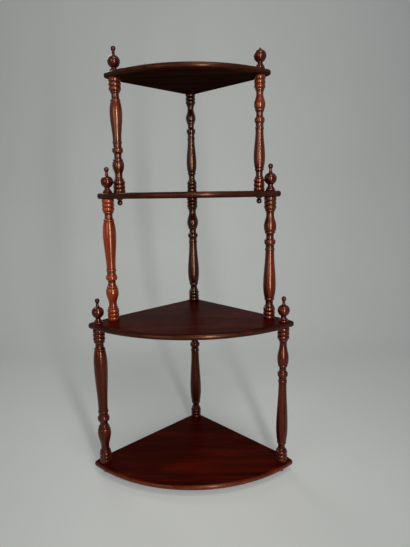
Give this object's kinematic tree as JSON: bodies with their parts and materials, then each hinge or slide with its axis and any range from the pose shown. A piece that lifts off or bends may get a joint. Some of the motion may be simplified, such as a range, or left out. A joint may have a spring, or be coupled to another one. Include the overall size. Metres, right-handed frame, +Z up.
{
  "type": "corner shelf unit",
  "caption": "Corner shelf unit: quarter-round boards that grow downwards, held apart by turned spindles, with turned finials above and round drops below.",
  "frame": {"origin": "under the middle of the bottom shelf, on the surface that the bottom drops stand on", "axes": "+Z up, +Y towards the room corner that the shelves' square corners fit, -Y towards the viewer, +X to the viewer's right"},
  "size_m": [0.4616, 0.33, 0.9581],
  "materials": {
    "shelf": "polished dark mahogany",
    "spindle": "polished red-brown mahogany",
    "finial": "polished red-brown mahogany",
    "drop": "polished dark mahogany",
    "screw": "plain steel"
  },
  "bodies": {
    "root": {"dowel_screw_bottom_left": "screw", "dowel_screw_bottom_rear": "screw", "dowel_screw_bottom_right": "screw", "dowel_screw_lower_inner_left": "screw", "dowel_screw_lower_inner_right": "screw", "dowel_screw_lower_outer_left": "screw", "dowel_screw_lower_outer_right": "screw", "dowel_screw_lower_rear": "screw", "dowel_screw_top_left": "screw", "dowel_screw_top_rear": "screw", "dowel_screw_top_right": "screw", "dowel_screw_upper_inner_left": "screw", "dowel_screw_upper_inner_right": "screw", "dowel_screw_upper_outer_left": "screw", "dowel_screw_upper_outer_right": "screw", "dowel_screw_upper_rear": "screw", "drop_bottom_left": "drop", "drop_bottom_rear": "drop", "drop_bottom_right": "drop", "drop_lower_left": "drop", "drop_lower_right": "drop", "drop_upper_left": "drop", "drop_upper_right": "drop", "finial_lower_left": "finial", "finial_lower_right": "finial", "finial_top_left": "finial", "finial_top_rear": "finial", "finial_top_right": "finial", "finial_upper_left": "finial", "finial_upper_right": "finial", "shelf_bottom": "shelf", "shelf_lower": "shelf", "shelf_top": "shelf", "shelf_upper": "shelf", "spindle_bottom_left": "spindle", "spindle_bottom_rear": "spindle", "spindle_bottom_right": "spindle", "spindle_middle_left": "spindle", "spindle_middle_rear": "spindle", "spindle_middle_right": "spindle", "spindle_top_left": "spindle", "spindle_top_rear": "spindle", "spindle_top_right": "spindle"}
  },
  "joints": []
}
